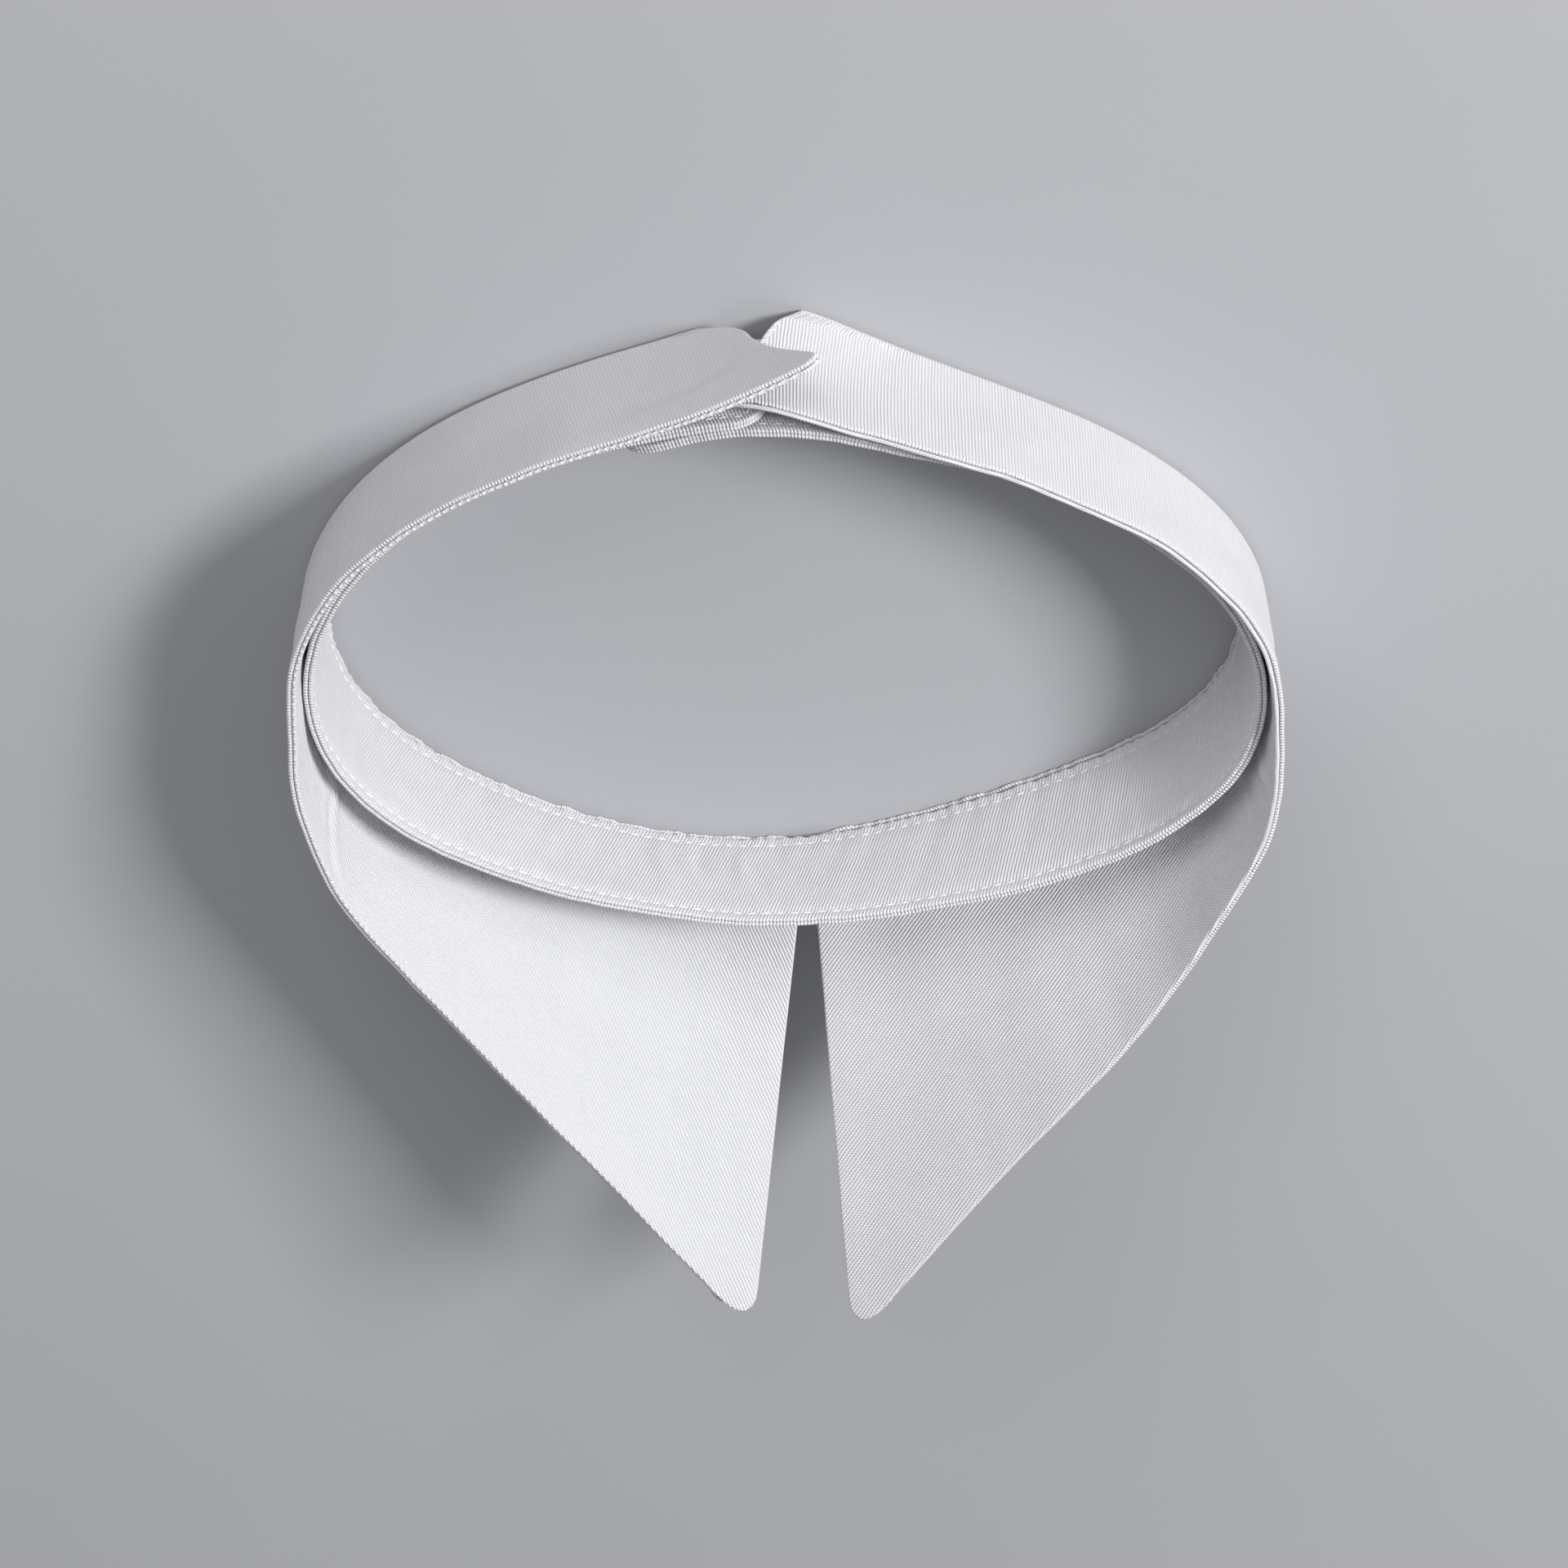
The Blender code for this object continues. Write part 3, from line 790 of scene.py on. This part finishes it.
def build_sewing(name, along, up, face, normal, look, seed):
    """Every stitch of one face as a slim closed bead of thread, its two ends sunk in the cloth.

    At part p of half its length, a bead's radius is (1 - p squared) to the power 0.35 of the thread's,
    flattened to 0.85 outwards, and its middle lies 0.02 - 0.16 p squared above the cloth.
    """
    path = stitch_path()
    line = read_face(along, up, face, path[:, 0], path[:, 1])
    facing = read_face(along, up, normal, path[:, 0], path[:, 1])
    run = np.concatenate([[0.0], np.cumsum(np.linalg.norm(np.diff(line, axis=0), axis=-1))])
    rng = np.random.default_rng(seed)
    count = int(run[-1] / STITCH_PITCH)
    centre = (np.arange(count) + 0.5) * run[-1] / count + rng.uniform(-0.10, 0.10, count)
    long = STITCH_LENGTH * rng.uniform(0.9, 1.06, count)

    def at(values, distance):
        return np.stack([np.interp(distance, run, values[:, k]) for k in range(3)], -1)

    start, end, middle = (at(line, centre + long * k) for k in (-0.5, 0.5, 0.0))
    out = at(facing, centre)
    out = out / np.linalg.norm(out, axis=-1, keepdims=True)
    run_along = (end - start) / np.linalg.norm(end - start, axis=-1, keepdims=True)
    aside = np.cross(out, run_along)
    lean = rng.uniform(-0.05, 0.05, (count, 1))
    run_along = run_along + aside * lean

    part = np.array([-0.92, -0.6, 0.0, 0.6, 0.92])
    girth = np.sqrt(1.0 - part**2) ** 0.7 * THREAD_WIDTH / 2
    turn = np.arange(THREAD_SIDES) * 2 * np.pi / THREAD_SIDES
    lift = 0.02 - 0.16 * part**2
    rings = (
        middle[:, None, None]
        + run_along[:, None, None] * (part[:, None] * long[:, None, None] / 2)[..., None]
        + out[:, None, None] * (lift[:, None] + girth[:, None] * np.sin(turn) * 0.85)[None, ..., None]
        + aside[:, None, None] * (girth[:, None] * np.cos(turn))[None, ..., None]
    )
    tips = np.stack([middle + run_along * long[:, None] * k - out * 0.10 for k in (-0.5, 0.5)], 1)
    in_rings = len(part) * THREAD_SIDES
    verts = np.concatenate([rings.reshape(count, in_rings, 3), tips], axis=1)
    index = np.arange(in_rings).reshape(len(part), THREAD_SIDES)
    following = np.roll(index, -1, axis=1)
    quads = np.stack([index[:-1], following[:-1], following[1:], index[1:]], -1).reshape(-1, 4)
    first = np.stack([np.full(THREAD_SIDES, in_rings), following[0], index[0]], -1)
    last = np.stack([np.full(THREAD_SIDES, in_rings + 1), index[-1], following[-1]], -1)
    offset = (np.arange(count) * (in_rings + 2))[:, None, None]
    quads = (quads[None] + offset).reshape(-1, 4)
    tris = (np.concatenate([first, last])[None] + offset).reshape(-1, 3)
    mesh = bpy.data.meshes.new(name)
    mesh.from_pydata((verts.reshape(-1, 3) * MM).tolist(), [], quads.tolist() + tris.tolist())
    mesh.update()
    mesh.shade_smooth()
    mesh.materials.append(look)
    piece = bpy.data.objects.new(name, mesh)
    bpy.context.collection.objects.link(piece)
    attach(piece, "root")


# ---------------------------------------------------------------- materials


def linear(hex_colour):
    """An sRGB hex colour as the linear values that shaders take."""
    parts = [int(hex_colour[k : k + 2], 16) / 255 for k in (1, 3, 5)]
    return tuple(p / 12.92 if p <= 0.04045 else ((p + 0.055) / 1.055) ** 2.4 for p in parts) + (1.0,)


def node(tree, kind, settings, inputs, output=0):
    """Adds one shader node and gives one of its outputs. An input is a value or another's output."""
    made = tree.nodes.new(kind)
    for name, value in settings.items():
        setattr(made, name, value)
    for name, value in inputs.items():
        if isinstance(value, bpy.types.NodeSocket):
            tree.links.new(value, made.inputs[name])
        else:
            made.inputs[name].default_value = value
    return made.outputs[output]


# A mix of colours: its inputs are the factor (0) and two colours (6 and 7), and its output is 2.
BY_COLOUR = {"data_type": "RGBA"}


def plain_material(name):
    """A material with its node tree and its Principled shader."""
    made = bpy.data.materials.new(name)
    made.use_nodes = True
    return made, made.node_tree, made.node_tree.nodes["Principled BSDF"]


def cotton_twill(name, twill_angle, base, shade, broken=0.55):
    """White cotton, woven as a fine twill and pressed: diagonal ribs of short yarn floats, darker with
    painted shade in the grooves between them.

    Ribs and yarns are both 0.5 + 0.5 sin(2 pi d / pitch + wobble), where d is the distance across
    them. The weave is rib x (1 - broken + broken x yarn), so a higher "broken" shows more of each
    float's ends, and it also wobbles more. The yarn pitch and the fibre grain are coarser than real
    ones, which are too fine to show. Wide, faint noise stands for uneven pressing.
    """
    made, tree, shader = plain_material(name)
    place = node(tree, "ShaderNodeUVMap", {"uv_map": "cut"}, {})
    drift_scale, fibre_scale, patch_scale = (
        1 / (size * MM) for size in (WEAVE_DRIFT, FIBRE_GRAIN, PRESSED_PATCH)
    )
    drift = node(tree, "ShaderNodeTexNoise", {}, {"Vector": place, "Scale": drift_scale, "Detail": 2.0})
    wobble = node(tree, "ShaderNodeMath", {"operation": "MULTIPLY"}, {0: drift, 1: 6.0 * broken})
    x = node(tree, "ShaderNodeSeparateXYZ", {}, {"Vector": place}, "X")
    y = node(tree, "ShaderNodeSeparateXYZ", {}, {"Vector": place}, "Y")

    def stripes(angle, pitch):
        """Wavering lines at that angle on the cut cloth, rising and falling between 0 and 1."""
        turn = math.radians(angle)
        left = node(tree, "ShaderNodeMath", {"operation": "MULTIPLY"}, {0: x, 1: -math.sin(turn)})
        right = node(tree, "ShaderNodeMath", {"operation": "MULTIPLY"}, {0: y, 1: math.cos(turn)})
        across = node(tree, "ShaderNodeMath", {"operation": "ADD"}, {0: left, 1: right})
        waves = 2 * math.pi / (pitch * MM)
        even = node(tree, "ShaderNodeMath", {"operation": "MULTIPLY"}, {0: across, 1: waves})
        phase = node(tree, "ShaderNodeMath", {"operation": "ADD"}, {0: even, 1: wobble})
        wave = node(tree, "ShaderNodeMath", {"operation": "SINE"}, {0: phase})
        return node(tree, "ShaderNodeMath", {"operation": "MULTIPLY_ADD"}, {0: wave, 1: 0.5, 2: 0.5})

    rib = stripes(twill_angle, TWILL_PITCH)
    yarn = stripes(twill_angle + YARN_TURN, YARN_PITCH)
    floats = node(
        tree, "ShaderNodeMath", {"operation": "MULTIPLY_ADD"}, {0: yarn, 1: broken, 2: 1.0 - broken}
    )
    weave = node(tree, "ShaderNodeMath", {"operation": "MULTIPLY"}, {0: rib, 1: floats})
    fibre = node(tree, "ShaderNodeTexNoise", {}, {"Vector": place, "Scale": fibre_scale, "Detail": 3.0})
    patch = node(
        tree,
        "ShaderNodeTexNoise",
        {},
        {"Vector": place, "Scale": patch_scale, "Detail": 3.0, "Roughness": 0.6},
    )
    fuzz = node(tree, "ShaderNodeMath", {"operation": "MULTIPLY"}, {0: fibre, 1: 0.55})
    height = node(tree, "ShaderNodeMath", {"operation": "ADD"}, {0: weave, 1: fuzz})
    bump = node(
        tree, "ShaderNodeBump", {}, {"Height": height, "Strength": 1.0, "Distance": 0.20 * MM}
    )
    pressed = node(
        tree,
        "ShaderNodeBump",
        {},
        {"Height": patch, "Strength": 0.5, "Distance": 0.35 * MM, "Normal": bump},
    )
    # Painted shade: the colour falls to the grey shade tone where the weave is low, in the grooves between
    # ribs and yarns, and is white on them; the fibre specks are random tone.
    ribbed = node(tree, "ShaderNodeMath", {"operation": "MULTIPLY_ADD"}, {0: weave, 1: 0.55, 2: 0.30})
    specks = node(tree, "ShaderNodeMath", {"operation": "MULTIPLY"}, {0: fibre, 1: 0.25})
    tone = node(tree, "ShaderNodeMath", {"operation": "ADD"}, {0: ribbed, 1: specks})
    colour = node(tree, "ShaderNodeMix", BY_COLOUR, {0: tone, 6: linear(shade), 7: linear(base)}, 2)
    rough = node(tree, "ShaderNodeMapRange", {}, {"Value": patch, "To Min": 0.80, "To Max": 0.92})
    tree.links.new(colour, shader.inputs["Base Color"])
    tree.links.new(rough, shader.inputs["Roughness"])
    tree.links.new(pressed, shader.inputs["Normal"])
    shader.inputs["Sheen Weight"].default_value = 0.25
    shader.inputs["Sheen Roughness"].default_value = 0.5
    shader.inputs["Specular IOR Level"].default_value = 0.25
    return made


def sewing_thread():
    """White spun polyester thread, twisted from plies: fine slanting lines along each stitch, in bumps and
    in painted shade between the plies.
    """
    made, tree, shader = plain_material("sewing_thread_spun_white")
    place = node(tree, "ShaderNodeTexCoord", {}, {}, "Object")
    plies = node(
        tree,
        "ShaderNodeTexWave",
        {"bands_direction": "DIAGONAL"},
        {"Vector": place, "Scale": 1 / (THREAD_TWIST * MM), "Distortion": 1.5},
        "Fac",
    )
    bump = node(tree, "ShaderNodeBump", {}, {"Height": plies, "Strength": 0.4, "Distance": 0.04 * MM})
    # Painted shade: the colour darkens to #dddde2 in the grooves between the plies and is near white on
    # them, following the same waves as the bump.
    ends = {6: linear("#dddde2"), 7: linear("#f4f4f7")}
    colour = node(tree, "ShaderNodeMix", BY_COLOUR, {0: plies, **ends}, 2)
    tree.links.new(colour, shader.inputs["Base Color"])
    tree.links.new(bump, shader.inputs["Normal"])
    shader.inputs["Roughness"].default_value = 0.6
    shader.inputs["Sheen Weight"].default_value = 0.15
    return made


def floor_paper():
    """Pale studio paper: matt, with a faint unevenness of tone."""
    made, tree, shader = plain_material("studio_floor_paper")
    place = node(tree, "ShaderNodeTexCoord", {}, {}, "Object")
    tone = node(tree, "ShaderNodeTexNoise", {}, {"Vector": place, "Scale": 14.0, "Detail": 4.0})
    ends = {6: linear("#b0b1b5"), 7: linear("#b5b6ba")}
    colour = node(tree, "ShaderNodeMix", BY_COLOUR, {0: tone, **ends}, 2)
    tree.links.new(colour, shader.inputs["Base Color"])
    shader.inputs["Roughness"].default_value = 0.95
    shader.inputs["Specular IOR Level"].default_value = 0.1
    return made


# ---------------------------------------------------------------- floor, light and camera

TARGET = Vector((-0.4 * MM, -10.1 * MM, 0.0))
VIEW_RISE = math.radians(50.0)
VIEW_DISTANCE = 880 * MM
LENS = 132.0
SENSOR = 36.0
FLOOR_REACH = 4.0
FLOOR_DROP = 0.05 * MM


def place_camera():
    """The camera looks down on the collar from behind its closure, with the closure at the top."""
    data = bpy.data.cameras.new("view_camera")
    data.lens = LENS
    data.sensor_width = SENSOR
    camera = bpy.data.objects.new("view_camera", data)
    bpy.context.collection.objects.link(camera)
    back = Vector((0.0, math.cos(VIEW_RISE), math.sin(VIEW_RISE)))
    top = Vector((0.0, math.sin(VIEW_RISE), -math.cos(VIEW_RISE)))
    right = top.cross(back)
    turn = Matrix((right, top, back)).transposed().to_4x4()
    camera.matrix_world = Matrix.Translation(TARGET + back * VIEW_DISTANCE) @ turn
    bpy.context.scene.camera = camera


def soft_box(name, direction, distance, size, power):
    """A square studio light that faces the collar from that direction."""
    data = bpy.data.lights.new(name, "AREA")
    data.size = size
    data.energy = power
    lamp = bpy.data.objects.new(name, data)
    bpy.context.collection.objects.link(lamp)
    away = Vector(direction).normalized()
    lamp.location = away * distance
    lamp.rotation_euler = away.to_track_quat("Z", "Y").to_euler()


def set_stage():
    """A wide pale floor under the collar, a key light, a wider fill and a soft surround.

    The view transform is the plain one, because the default one turns white cloth grey.
    """
    mesh = bpy.data.meshes.new("floor")
    corners = [(x * FLOOR_REACH, y * FLOOR_REACH, 0.0) for x, y in ((-1, -1), (1, -1), (1, 1), (-1, 1))]
    mesh.from_pydata(corners, [], [(0, 1, 2, 3)])
    mesh.materials.append(floor_paper())
    floor = bpy.data.objects.new("floor", mesh)
    floor.location.z = -FLOOR_DROP
    bpy.context.collection.objects.link(floor)
    soft_box("key_light", (1.08, 0.66, 0.92), distance=1.5, size=0.42, power=21.5)
    soft_box("fill_light", (-0.35, 1.0, 0.42), distance=1.6, size=1.0, power=8.5)
    world = bpy.data.worlds.new("studio_surround")
    world.use_nodes = True
    surround = world.node_tree.nodes["Background"]
    surround.inputs["Color"].default_value = linear("#f3f4f8")
    surround.inputs["Strength"].default_value = 0.34
    bpy.context.scene.world = world
    bpy.context.scene.view_settings.view_transform = "Standard"


# ---------------------------------------------------------------- making it all

place_camera()
set_stage()
# The ribs' tone, and the darker tone between them, which is painted shade in the weave's grooves. Each
# piece is cut at its own angle to the weave.
WHITE = "#f4f4f6"
WEAVE_GROOVE_SHADE = "#c2c2ca"
stand_look = cotton_twill("cotton_twill_stand", -71.0, WHITE, WEAVE_GROOVE_SHADE)
left_under_look = cotton_twill("cotton_twill_left_leaf_under", -60.0, WHITE, WEAVE_GROOVE_SHADE)
right_under_look = cotton_twill("cotton_twill_right_leaf_under", -50.0, WHITE, WEAVE_GROOVE_SHADE)
left_upper_look = cotton_twill("cotton_twill_left_leaf_upper", 38.0, WHITE, WEAVE_GROOVE_SHADE, 0.85)
right_upper_look = cotton_twill("cotton_twill_right_leaf_upper", 45.0, WHITE, WEAVE_GROOVE_SHADE)
thread_look = sewing_thread()
stand_along, stand_up, stand_faces = build_stand(stand_look)
for seed, (stand_name, (face, facing)) in enumerate(stand_faces.items(), 21):
    build_sewing(stand_name + "_topstitch", stand_along, stand_up, face, facing, thread_look, seed)
build_leaf(LEFT_LEAF, left_under_look, left_upper_look)
build_leaf(RIGHT_LEAF, right_under_look, right_upper_look)
